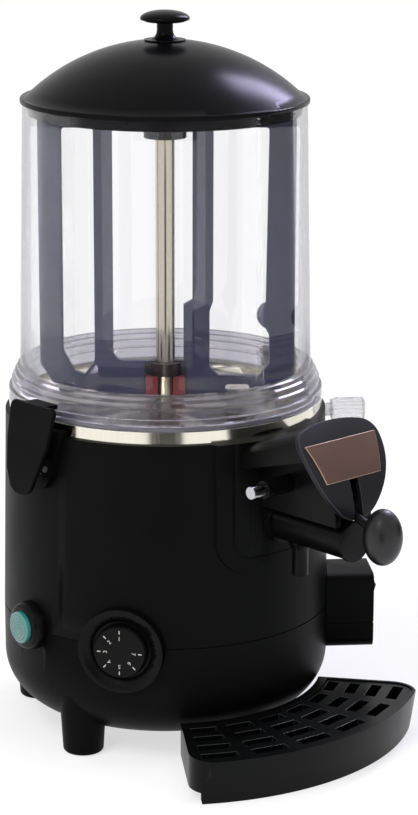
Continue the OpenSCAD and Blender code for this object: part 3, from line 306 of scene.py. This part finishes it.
# ---- Base plate and its screws ----
# A stamped galvanised sheet closes the bottom, held by three ground steel screws. Zinc crystals show as
# pale and dark patches on it and on the motor's bracket above it.
ZINC_CRYSTAL_MM = 9
CRYSTAL_TONE = 1.3
DARK_ROUGHNESS, PALE_ROUGHNESS = 0.32, 0.5
LINE_WIDTH_MM, LINE_LENGTH_MM = 0.8, 60
LINE_TONE = 0.86


def dress(node, material):
    """Gives a CAD node that keeps its own mesh a better material."""
    skin = frame["nodes"][node]
    skin.data.materials.clear()
    skin.data.materials.append(material)


def galvanised_sheet(name, colour):
    """Zinc on steel: a cell pattern gives each crystal its own tone and roughness."""
    material, tree, shader, place = blank_material(name)
    cells = add(tree, "TexVoronoi", {"Vector": place, "Scale": 1 / (ZINC_CRYSTAL_MM * MM)}).outputs["Color"]
    tone = add(tree, "RGBToBW", {0: cells}).outputs[0]
    pale = shaded(colour, CRYSTAL_TONE)
    mixed = add(tree, "Mix", {0: tone, 6: linear(colour), 7: pale}, data_type="RGBA")
    rough = add(tree, "MapRange", {"Value": tone, "To Min": DARK_ROUGHNESS, "To Max": PALE_ROUGHNESS})
    tree.links.new(mixed.outputs[2], shader.inputs["Base Color"])
    tree.links.new(rough.outputs[0], shader.inputs["Roughness"])
    shader.inputs["Metallic"].default_value = 1.0
    return material


zinc = galvanised_sheet("galvanised_steel", "8f9194")
dress("base_plate", zinc)
dress("motor_bracket", zinc)


def drawn_metal(name, colour, roughness, streak, grain_axis=2):
    """Drawn or rolled metal: noise that is stretched along one axis makes fine lines in tone and gloss.
    streak is how much duller than roughness the dullest line is."""
    material, tree, shader, place = blank_material(name)
    scale = [1 / (LINE_WIDTH_MM * MM)] * 3
    scale[grain_axis] = 1 / (LINE_LENGTH_MM * MM)
    stretched = add(tree, "Mapping", {"Vector": place, "Scale": scale}).outputs[0]
    lines = add(tree, "TexNoise", {"Vector": stretched, "Scale": 1.0, "Detail": 3.0}).outputs[0]
    span = {"Value": lines, "From Min": NOISE_LOW, "From Max": NOISE_HIGH}
    rough = add(tree, "MapRange", {**span, "To Min": roughness, "To Max": roughness + streak})
    dim = shaded(colour, LINE_TONE)
    mixed = add(tree, "Mix", {0: lines, 6: dim, 7: linear(colour)}, data_type="RGBA")
    tree.links.new(mixed.outputs[2], shader.inputs["Base Color"])
    tree.links.new(rough.outputs[0], shader.inputs["Roughness"])
    shader.inputs["Metallic"].default_value = 1.0
    return material


bright_steel = drawn_metal("ground_steel", "c9c9cb", roughness=0.14, streak=0.08, grain_axis=0)
dress("base_screws", bright_steel)


# ---- Inner works ----
# Deep-drawn bath, sheathed heating ring, cast gearbox, lacquered motor and thermostat. None of them is
# seen from outside, but each has its own finish for when the casing is taken off.
bath_sheet = drawn_metal("deep_drawn_stainless", "a9a8a4", roughness=0.3, streak=0.12)
dress("water_bath", bath_sheet)
dress("heating_element", drawn_metal("heat_stained_sheath", "8a7f74", roughness=0.35, streak=0.15))
dress("gearbox", galvanised_sheet("die_cast_aluminium", "7f8286"))
lacquer = moulded_plastic("dark_lacquer", "3c3e41", roughness=0.4, gloss=0.4, grain=0.4)
dress("gear_motor", lacquer)
dress("thermostat", moulded_plastic("ceramic_body", "b4b0a6", roughness=0.5, gloss=0.4, grain=0.6))
acetal = moulded_plastic("white_acetal", "dedbd0", roughness=0.35, gloss=0.5, grain=0.3)
dress("column_bush", acetal)
silicone = moulded_plastic("grey_silicone", "9a9a98", roughness=0.55, gloss=0.3, grain=0.3)
dress("tank_gasket", silicone)
dress("tap_seal", silicone)
dress("cable_gland", foot_plastic)


# ---- Heated bowl ----
# A polished stainless bowl whose rolled rim stands on the casing as a bright band. Drawing and polishing
# leave faint upright lines in it.
polished_steel = drawn_metal("polished_stainless", "faf5e6", roughness=0.12, streak=0.06)
fair_copy("product_bowl", polished_steel, crease=40)
dress("bowl_outlet", polished_steel)


# ---- Clear tank ----
# One injection-moulded polycarbonate cylinder, a little wider at its foot, with a stepped flange that
# the latches press down. Its thick edges carry a faint lavender tint.
# Below the flange's top the colour is painted darker: painted shade for the dark bowl seen through it.
TANK_WALL = 3.5
TANK_TOP_R, TANK_FOOT_R = 112.5, 117.0
FLANGE_HEIGHT, FLANGE_TOP_LEDGE = 27, 0.1
SEAL_SEAT_WIDTH, SEAL_SEAT_DEPTH = 5, 2.6
FLANGE_SHARE = 0.85
FLOW_WAVE_MM, FLOW_DEPTH_MM, FLOW_BUMP = 35, 0.5, 0.05
COVER_FROM, HAZE_FROM = 0.5, 0.6  # how far a face turns away before it covers more or looks hazy
FLANGE_SHADE_TONE = 0.62


def turned(
    name, profile, material, body, replaced, around, place=Matrix(), crease=CREASE_DEGREES, ribs=None
):
    """A surface of revolution. Row i of the grid is the circle that profile point i (radius, height in mm)
    sweeps round the axis; a profile that starts and ends on the axis closes at its poles, and any other
    is a loop that closes on itself. place is where the axis stands. ribs (count, depth, radius in mm) draws
    points outside that radius in by half the depth times one less the cosine of count times the angle."""
    profile = np.asarray(profile, float) * MM
    on_axis = profile[0, 0] < 1e-9 and profile[-1, 0] < 1e-9
    turn = np.linspace(0, 2 * np.pi, around, endpoint=False)
    rings = profile[1:-1] if on_axis else profile
    radius = np.repeat(rings[:, :1], around, axis=1)
    if ribs:
        number, depth, beyond = ribs
        radius = radius - (radius > beyond * MM) * depth * MM * (1 - np.cos(number * turn)) / 2
    z = np.repeat(rings[:, 1:], around, axis=1)
    points = np.stack([radius * np.cos(turn), radius * np.sin(turn), z], -1).reshape(-1, 3)
    count = len(rings)
    i, j = np.meshgrid(np.arange(count - 1 if on_axis else count), np.arange(around), indexing="ij")
    after, beside = (i + 1) % count, (j + 1) % around
    faces = np.stack([i * around + j, i * around + beside, after * around + beside, after * around + j], -1)
    faces = faces.reshape(-1, 4).tolist()
    if on_axis:
        low, high = len(points), len(points) + 1
        points = np.vstack([points, [0, 0, profile[0, 1]], [0, 0, profile[-1, 1]]])
        j = np.arange(around)
        beside = (j + 1) % around
        last = (count - 1) * around
        faces += np.stack([j, np.full(around, low), beside], -1).tolist()
        faces += np.stack([last + beside, np.full(around, high), last + j], -1).tolist()
    mesh = bpy.data.meshes.new(name)
    mesh.from_pydata(points.tolist(), [], faces)
    mesh.transform(place)
    shape = bmesh.new()
    shape.from_mesh(mesh)
    bmesh.ops.recalc_face_normals(shape, faces=shape.faces)
    shape.to_mesh(mesh)
    shape.free()
    mesh.materials.append(material)
    mesh.shade_smooth()
    mesh.set_sharp_from_angle(angle=math.radians(crease))
    piece = bpy.data.objects.new(name, mesh)
    scene.collection.objects.link(piece)
    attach(piece, body)
    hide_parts(replaced)


def rounded(corners, steps=5):
    """Points along a closed outline whose corners (x, y, radius in mm) are replaced by arcs: each arc
    starts and ends where a circle of that radius touches the two sides, and its points are the two radii
    to those places, weighted by the sines of the angles left to them."""
    xy = np.array([c[:2] for c in corners], float)
    radii = np.array([c[2] for c in corners], float)
    to_last = np.roll(xy, 1, 0) - xy
    to_next = np.roll(xy, -1, 0) - xy
    a = to_last / np.linalg.norm(to_last, axis=1, keepdims=True)
    b = to_next / np.linalg.norm(to_next, axis=1, keepdims=True)
    half = np.arccos(np.clip((a * b).sum(1), -1, 1)) / 2
    reach = radii / np.maximum(np.tan(half), 1e-6)
    t = np.linspace(0, 1, steps + 1)[:, None]
    points = []
    for corner, p, q, radius, length, opening in zip(xy, a, b, radii, reach, half):
        if radius <= 0:
            points.append(corner)
            continue
        centre = corner + (p + q) / np.linalg.norm(p + q) * radius / math.sin(opening)
        first, last = corner + p * length - centre, corner + q * length - centre
        angle = math.acos(max(-1, min(1, float(first @ last) / radius**2)))
        arc = (np.sin((1 - t) * angle) * first + np.sin(t * angle) * last) / math.sin(angle)
        points.extend(centre + arc)
    return np.array(points)


def clear_plastic(name, colour, roughness, face, rim, haze, thick=(0.0, 0.0)):
    """Clear polycarbonate: part of the light goes straight through and part is refracted, and its tinted
    haze grows where it is seen edge-on. face and rim are the refracting share seen flat and edge-on.
    thick is a height in mm, below which the plastic is thick and its colour is painted darker as painted
    shade, and the least share there."""
    material, tree, shader, place = blank_material(name)
    shaded_below, least_share = thick
    flow = {"Vector": place, "Scale": 1 / (FLOW_WAVE_MM * MM), "Detail": 1.0}
    wave = add(tree, "TexNoise", flow).outputs[0]
    bump = add(tree, "Bump", {"Height": wave, "Strength": FLOW_BUMP, "Distance": FLOW_DEPTH_MM * MM})
    edge_on = add(tree, "LayerWeight", {"Blend": 0.5}).outputs["Facing"]
    covering = {"Value": edge_on, "From Min": COVER_FROM}
    cover = add(tree, "MapRange", {**covering, "To Min": face, "To Max": rim})
    clearing = {"Value": edge_on, "From Min": HAZE_FROM}
    clear = add(tree, "MapRange", {**clearing, "To Min": 1.0 - haze / 6, "To Max": 1.0 - haze})
    height = add(tree, "SeparateXYZ", {0: place}).outputs["Z"]
    below = add(tree, "Math", {0: height, 1: shaded_below * MM}, operation="LESS_THAN").outputs[0]
    least = add(tree, "Math", {0: below, 1: least_share}, operation="MULTIPLY").outputs[0]
    cover = add(tree, "Math", {0: cover.outputs[0], 1: least}, operation="MAXIMUM")
    # Painted shade: the flange's colour is darkened where the dark bowl shows through it.
    painted_flange_shade = shaded(colour, FLANGE_SHADE_TONE)
    tint = add(tree, "Mix", {0: below, 6: linear(colour), 7: painted_flange_shade}, data_type="RGBA")
    tree.links.new(cover.outputs[0], shader.inputs["Alpha"])
    tree.links.new(tint.outputs[2], shader.inputs["Base Color"])
    tree.links.new(clear.outputs[0], shader.inputs["Transmission Weight"])
    tree.links.new(bump.outputs[0], shader.inputs["Normal"])
    shader.inputs["Roughness"].default_value = roughness
    shader.inputs["IOR"].default_value = 1.49
    return material


tank_low, tank_high = (corner * 1000 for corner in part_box("tank_cylinder"))
flange_r = tank_high.x
foot_z, top_z = tank_low.z, tank_high.z
step = (flange_r - TANK_FOOT_R) / 4
rise = FLANGE_HEIGHT / 5
flange_top = foot_z + rise * 5
inner_foot_r = TANK_FOOT_R - TANK_WALL
# Half of the tank's section, up the outside and down the inside. The flange draws in over three steps.
tank_outline = rounded(
    [
        (inner_foot_r + SEAL_SEAT_WIDTH, foot_z + SEAL_SEAT_DEPTH, 0.3),
        (inner_foot_r + SEAL_SEAT_WIDTH, foot_z, 0.3),
        (flange_r, foot_z, 0.6),
        (flange_r, foot_z + rise * 1.8, 1.3),
        (flange_r - step, foot_z + rise * 1.8, 0.6),
        (flange_r - step, foot_z + rise * 3.0, 1.1),
        (flange_r - 2 * step, foot_z + rise * 3.25, 0.7),
        (flange_r - 2 * step, foot_z + rise * 4.0, 1.0),
        (flange_r - 3 * step, foot_z + rise * 4.25, 0.5),
        (flange_r - 3 * step, foot_z + rise * 4.8, 0.8),
        (TANK_FOOT_R + FLANGE_TOP_LEDGE, flange_top, 0.4),
        (TANK_TOP_R, top_z, 0.8),
        (TANK_TOP_R - TANK_WALL, top_z, 0.8),
        (inner_foot_r, flange_top, 3.0),
        (inner_foot_r, foot_z + SEAL_SEAT_DEPTH, 0.3),
    ]
)
polycarbonate = clear_plastic(
    "clear_polycarbonate",
    "e2dfee",
    roughness=0.03,
    face=0.08,
    rim=0.85,
    haze=0.2,
    thick=(flange_top, FLANGE_SHARE),
)
turned("tank", tank_outline, polycarbonate, "cabinet", "tank_cylinder", around=256)


# ---- Column and drive ----
# A polished stainless tube stands in the bowl. The shaft inside it carries a six-sided head that
# drives the paddle.
tube_steel = drawn_metal("polished_tube", "cfc9b8", roughness=0.1, streak=0.08)
fair_copy("column_tube", tube_steel)
dress("drive_shaft", bright_steel)
fair_copy("drive_head", tube_steel, edge=0.5)


# ---- Paddle frame ----
# Slate-coloured polypropylene bars that sweep the tank's wall and middle, smooth from the mould,
# with two dark red shoes that run round the column's foot. The hubs round the column look black.
HUB_R = 17.3
LOW_HUB_TOP, HIGH_HUB_FOOT = 298.5, 479.5
paddle_plastic = moulded_plastic("slate_polypropylene", "282a40", roughness=0.33, gloss=0.25, grain=0.5)
tree = paddle_plastic.node_tree
shader = tree.nodes["Principled BSDF"]
slate = shader.inputs["Base Color"].links[0].from_socket
place = add(tree, "TexCoord").outputs["Object"]
flat = add(tree, "VectorMath", {0: place, 1: (1, 1, 0)}, operation="MULTIPLY").outputs[0]
reach = add(tree, "VectorMath", {0: flat}, operation="LENGTH").outputs["Value"]
height = add(tree, "SeparateXYZ", {0: place}).outputs["Z"]
near = add(tree, "Math", {0: reach, 1: HUB_R * MM}, operation="LESS_THAN").outputs[0]
low = add(tree, "Math", {0: height, 1: LOW_HUB_TOP * MM}, operation="LESS_THAN").outputs[0]
high = add(tree, "Math", {0: height, 1: HIGH_HUB_FOOT * MM}, operation="GREATER_THAN").outputs[0]
ends = add(tree, "Math", {0: low, 1: high}, operation="ADD").outputs[0]
hub = add(tree, "Math", {0: near, 1: ends}, operation="MULTIPLY").outputs[0]
two_tone = add(tree, "Mix", {0: hub, 6: slate, 7: linear("0c0c0e")}, data_type="RGBA")
tree.links.new(two_tone.outputs[2], shader.inputs["Base Color"])
fair_copy("paddle", paddle_plastic, edge=0.8)
shoe_plastic = moulded_plastic("dark_red_acetal", "5e1a20", roughness=0.3, gloss=0.5, grain=0.3)
fair_copy("paddle_shoes", shoe_plastic, edge=0.6)


# ---- Lid and knob ----
# A black polycarbonate dome with a rolled rim, glossier than the casing, and a mushroom knob that a
# screw holds from inside.
lid_plastic = moulded_plastic("satin_black_lid", "050506", roughness=0.24, gloss=0.07, grain=0.5)
fair_copy("lid", lid_plastic, crease=30)
fair_copy("lid_knob", lid_plastic, edge=0.4)
dress("knob_screw", bright_steel)


# ---- Tap ----
# Black moulded barrel and hood on a raised panel, with a dark grey shield and a brown plate in front.
# The lever's fork moves a piston in the barrel, and a steel pin through the hood carries the lever.
fair_copy("tap_surround", casing_abs, edge=0.15)
tap_plastic = moulded_plastic("satin_black_tap", "050605", roughness=0.3, gloss=0.11)
fair_copy("tap_body", tap_plastic, edge=0.5)
fair_copy("tap_hood", tap_plastic, edge=1.0)
fair_copy("barrel_cap", tap_plastic, edge=0.5)
fair_copy("tap_lever", tap_plastic, edge=0.5)
dress("tap_piston", acetal)
dress("piston_rings", silicone)
dress("piston_spring", bright_steel)
shield_plastic = moulded_plastic("dark_grey_shield", "131318", roughness=0.34, gloss=0.22, grain=0.7)
# The shield's rounded edges are painted paler as a painted highlight.
painted_shield_highlight = moulded_plastic("shield_edge_painted_highlight", "3a3a42", roughness=0.3, gloss=0.5, grain=0.4)
fair_copy("tap_shield", shield_plastic, edge=1.0, edge_material=painted_shield_highlight)
plate_film = moulded_plastic("brown_anodised_plate", "48322a", roughness=0.38, gloss=0.4, grain=0.6)
# The plate's rounded edges are painted pale as a painted highlight.
painted_plate_highlight = moulded_plastic("plate_edge_painted_highlight", "a08674", roughness=0.3, gloss=0.6, grain=0.3)
fair_copy("name_plate", plate_film, edge=0.4, edge_material=painted_plate_highlight)
knob_plastic = moulded_plastic("satin_black_grip", "09090b", roughness=0.36, gloss=0.5, grain=0.5)
fair_copy("lever_knob", knob_plastic, crease=40)
fair_copy("lever_pin", bright_steel, edge=0.4)


# ---- Latches ----
# Black moulded levers hook over the tank's flange on both sides and press it down. Each turns on a
# steel pin between the two cheeks of a bracket on the casing.
for side in ("left", "right"):
    fair_copy("latch_bracket_" + side, casing_abs, edge=0.6)
    fair_copy("latch_" + side, casing_abs, edge=0.9)
    dress("latch_pin_" + side, bright_steel)


# ---- Power button ----
# A tinted teal lens with moulded rings on its domed face. It slides in a round black bezel, whose
# threaded neck goes through the left of the casing.
POWER_TURN, POWER_HEIGHT = -95.5, 101.5
LENS_FOOT = 119  # from the machine's axis to the lens's inner end
LENS_R, LENS_SIDE, LENS_RISE = 12.8, 26.0, 3.0
LENS_RING_MM, LENS_RING_DEPTH = 2.4, 0.28
PLAIN_RIM, RING_FADE = 1.2, 0.8
LENS_EDGE, DOME_POINTS = 0.15, 64
FACE_FROM, FACE_FULL, FACE_SHEEN_SHARE = 0.3, 0.95, 0.8


def facing(turn, reach, height):
    """Places a piece drawn on XY, +Z outwards, at an angle, a distance and a height on the round body."""
    turn = math.radians(turn)
    away = Vector((math.sin(turn), -math.cos(turn), 0))
    right = Vector((math.cos(turn), math.sin(turn), 0))
    turned_axes = Matrix((right, (0, 0, 1), away)).transposed().to_4x4()
    return Matrix.Translation(away * reach * MM + Vector((0, 0, height * MM))) @ turned_axes


fair_copy("power_bezel", tap_plastic, edge=0.5)
# The face is a quarter of an ellipse over a straight side, less cosine rings that fade before the rim.
lens_r = np.linspace(0, LENS_R - LENS_EDGE, DOME_POINTS)
dome = LENS_SIDE + LENS_RISE * np.sqrt(1 - (lens_r / LENS_R) ** 2)
rings = 1 - np.cos(2 * np.pi * lens_r / LENS_RING_MM)
dome -= LENS_RING_DEPTH * rings * np.clip((LENS_R - PLAIN_RIM - lens_r) / RING_FADE, 0, 1)
lens_profile = [(0, 0), (LENS_R, 0), (LENS_R, LENS_SIDE)] + list(zip(lens_r, dome))[::-1]
lens = moulded_plastic("teal_lens", "14605e", roughness=0.14, gloss=0.6, grain=0.2)
# The face is painted paler than the side: a painted sheen for the light that its rings scatter.
tree = lens.node_tree
outwards = facing(POWER_TURN, 0, 0).to_3x3().col[2]
normal = add(tree, "NewGeometry").outputs["Normal"]
front = add(tree, "VectorMath", {0: normal, 1: tuple(outwards)}, operation="DOT_PRODUCT").outputs["Value"]
face_span = {"Value": front, "From Min": FACE_FROM, "From Max": FACE_FULL}
on_face = add(tree, "MapRange", {**face_span, "To Max": FACE_SHEEN_SHARE})
shader = tree.nodes["Principled BSDF"]
teal = shader.inputs["Base Color"].links[0].from_socket
pale = add(tree, "Mix", {0: on_face.outputs[0], 6: teal, 7: linear("5c7a78")}, data_type="RGBA")
tree.links.new(pale.outputs[2], shader.inputs["Base Color"])
turned(
    "lens",
    lens_profile,
    lens,
    frame["nodes"]["power_button"]["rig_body"],
    "power_button",
    around=128,
    place=facing(POWER_TURN, LENS_FOOT, POWER_HEIGHT),
    crease=60,
)


# ---- Thermostat dial ----
# A low moulded black knob with a knurled edge, pushed on the thermostat's spindle in a raised collar.
# Seven ticks and figures are printed on its face.
DIAL_TURN, DIAL_HEIGHT, DIAL_BASE = -57, 98, 134.35
DIAL_R, DIAL_FACE_R, DIAL_SHOULDER, DIAL_RISE = 21.5, 20.0, 5, 7.0
KNURLS, KNURL_DEPTH, KNURLED_BEYOND = 60, 0.7, 20.4
LAST_FIGURE, FIGURE_STEP_DEGREES = 7, 45
FIGURE_R, FIGURE_SIZE = 11.3, 4.6
TICK_R, TICK_WIDTH, TICK_LENGTH = 16.6, 0.8, 2.8
INK_HALF, INK_SUNK = 0.03, 0.02
fair_copy("dial_collar", tap_plastic, edge=0.7)
dial_outline = rounded(
    [
        (0, 0, 0),
        (DIAL_R, 0, 0.3),
        (DIAL_R, DIAL_SHOULDER, 0.8),
        (DIAL_FACE_R, DIAL_RISE, 0.7),
        (0, DIAL_RISE, 0),
    ]
)
dial_body = frame["nodes"]["thermostat_dial"]["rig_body"]
turned(
    "dial",
    dial_outline,
    tap_plastic,
    dial_body,
    "thermostat_dial",
    around=480,
    place=facing(DIAL_TURN, DIAL_BASE, DIAL_HEIGHT),
    ribs=(KNURLS, KNURL_DEPTH, KNURLED_BEYOND),
)
marks = bmesh.new()
for number in range(1, LAST_FIGURE + 1):
    swing = Matrix.Rotation(math.radians(FIGURE_STEP_DEGREES * (number - 1)), 4, "Z")
    lettering = bpy.data.curves.new("figure", "FONT")
    lettering.body = str(number)
    lettering.size = FIGURE_SIZE * MM
    lettering.align_x = lettering.align_y = "CENTER"
    lettering.extrude = INK_HALF * MM
    figure = bpy.data.objects.new("figure", lettering)
    shape = bpy.data.meshes.new_from_object(figure)
    shape.transform(swing @ Matrix.Translation((0, FIGURE_R * MM, 0)))
    marks.from_mesh(shape)
    bpy.data.objects.remove(figure)
    size = Matrix.Diagonal((TICK_WIDTH * MM, TICK_LENGTH * MM, 2 * INK_HALF * MM, 1))
    tick = Matrix.Translation((0, TICK_R * MM, 0)) @ size
    bmesh.ops.create_cube(marks, size=1, matrix=swing @ tick)
on_dial = facing(DIAL_TURN, DIAL_BASE + DIAL_RISE - INK_SUNK, DIAL_HEIGHT)
bmesh.ops.transform(marks, matrix=on_dial, verts=marks.verts)
printed = bpy.data.meshes.new("dial_print")
marks.to_mesh(printed)
marks.free()
printed.materials.append(moulded_plastic("white_print", "a9a9a4", roughness=0.5, gloss=0.3, grain=0.2))
print_piece = bpy.data.objects.new("dial_print", printed)
scene.collection.objects.link(print_piece)
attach(print_piece, dial_body)


# ---- Switch housing and rocker ----
# A box moulded in two halves of black ABS, fixed to the right of the base. A rocker switch tips on two
# stub pins in a frame in its side.
fair_copy("switch_housing", casing_abs, edge=0.6)
fair_copy("rocker_frame", tap_plastic, edge=0.4)
fair_copy("rocker_switch", tap_plastic, edge=0.4)


# ---- Water filler ----
# A short moulded neck and a coarsely ribbed screw cap behind the tank's flange, both of clear
# polycarbonate that looks frosted.
FILLER_TURN, FILLER_HEIGHT = 52, 255
CAP_FROM, CAP_LENGTH, CAP_R = 135.5, 27, 9.6
CAP_FOOT_R, CAP_FOOT_LENGTH, CAP_END_R, CAP_END_LENGTH = 8.6, 3, 8.0, 1
CAP_RIBS, CAP_RIB_DEPTH, RIBBED_BEYOND = 18, 1.1, 8.8
cap_plastic = clear_plastic("frosted_polycarbonate", "d9d9dd", roughness=0.2, face=0.7, rim=0.9, haze=0.5)
fair_copy("filler_neck", cap_plastic, crease=40)
cap_outline = rounded(
    [
        (0, 0, 0),
        (CAP_FOOT_R, 0, 0.4),
        (CAP_R, CAP_FOOT_LENGTH, 0.6),
        (CAP_R, CAP_LENGTH - CAP_END_LENGTH, 0.8),
        (CAP_END_R, CAP_LENGTH, 0.4),
        (0, CAP_LENGTH, 0),
    ]
)
turned(
    "screw_cap",
    cap_outline,
    cap_plastic,
    frame["nodes"]["filler_cap"]["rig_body"],
    "filler_cap",
    around=216,
    place=facing(FILLER_TURN, CAP_FROM, FILLER_HEIGHT),
    ribs=(CAP_RIBS, CAP_RIB_DEPTH, RIBBED_BEYOND),
    crease=50,
)


# ---- Drip tray ----
# A curved basin moulded in black plastic, which stands by itself on the table under the tap. Its grid
# of staggered slots drops in, and the slots' edges are painted paler as a painted highlight.
painted_slot_highlight = moulded_plastic("slot_edge_painted_highlight", "26272a", roughness=0.28, gloss=0.5, grain=0.4)
fair_copy("tray_basin", tap_plastic, edge=0.8)
fair_copy("tray_grid", tap_plastic, edge=0.6, edge_material=painted_slot_highlight)
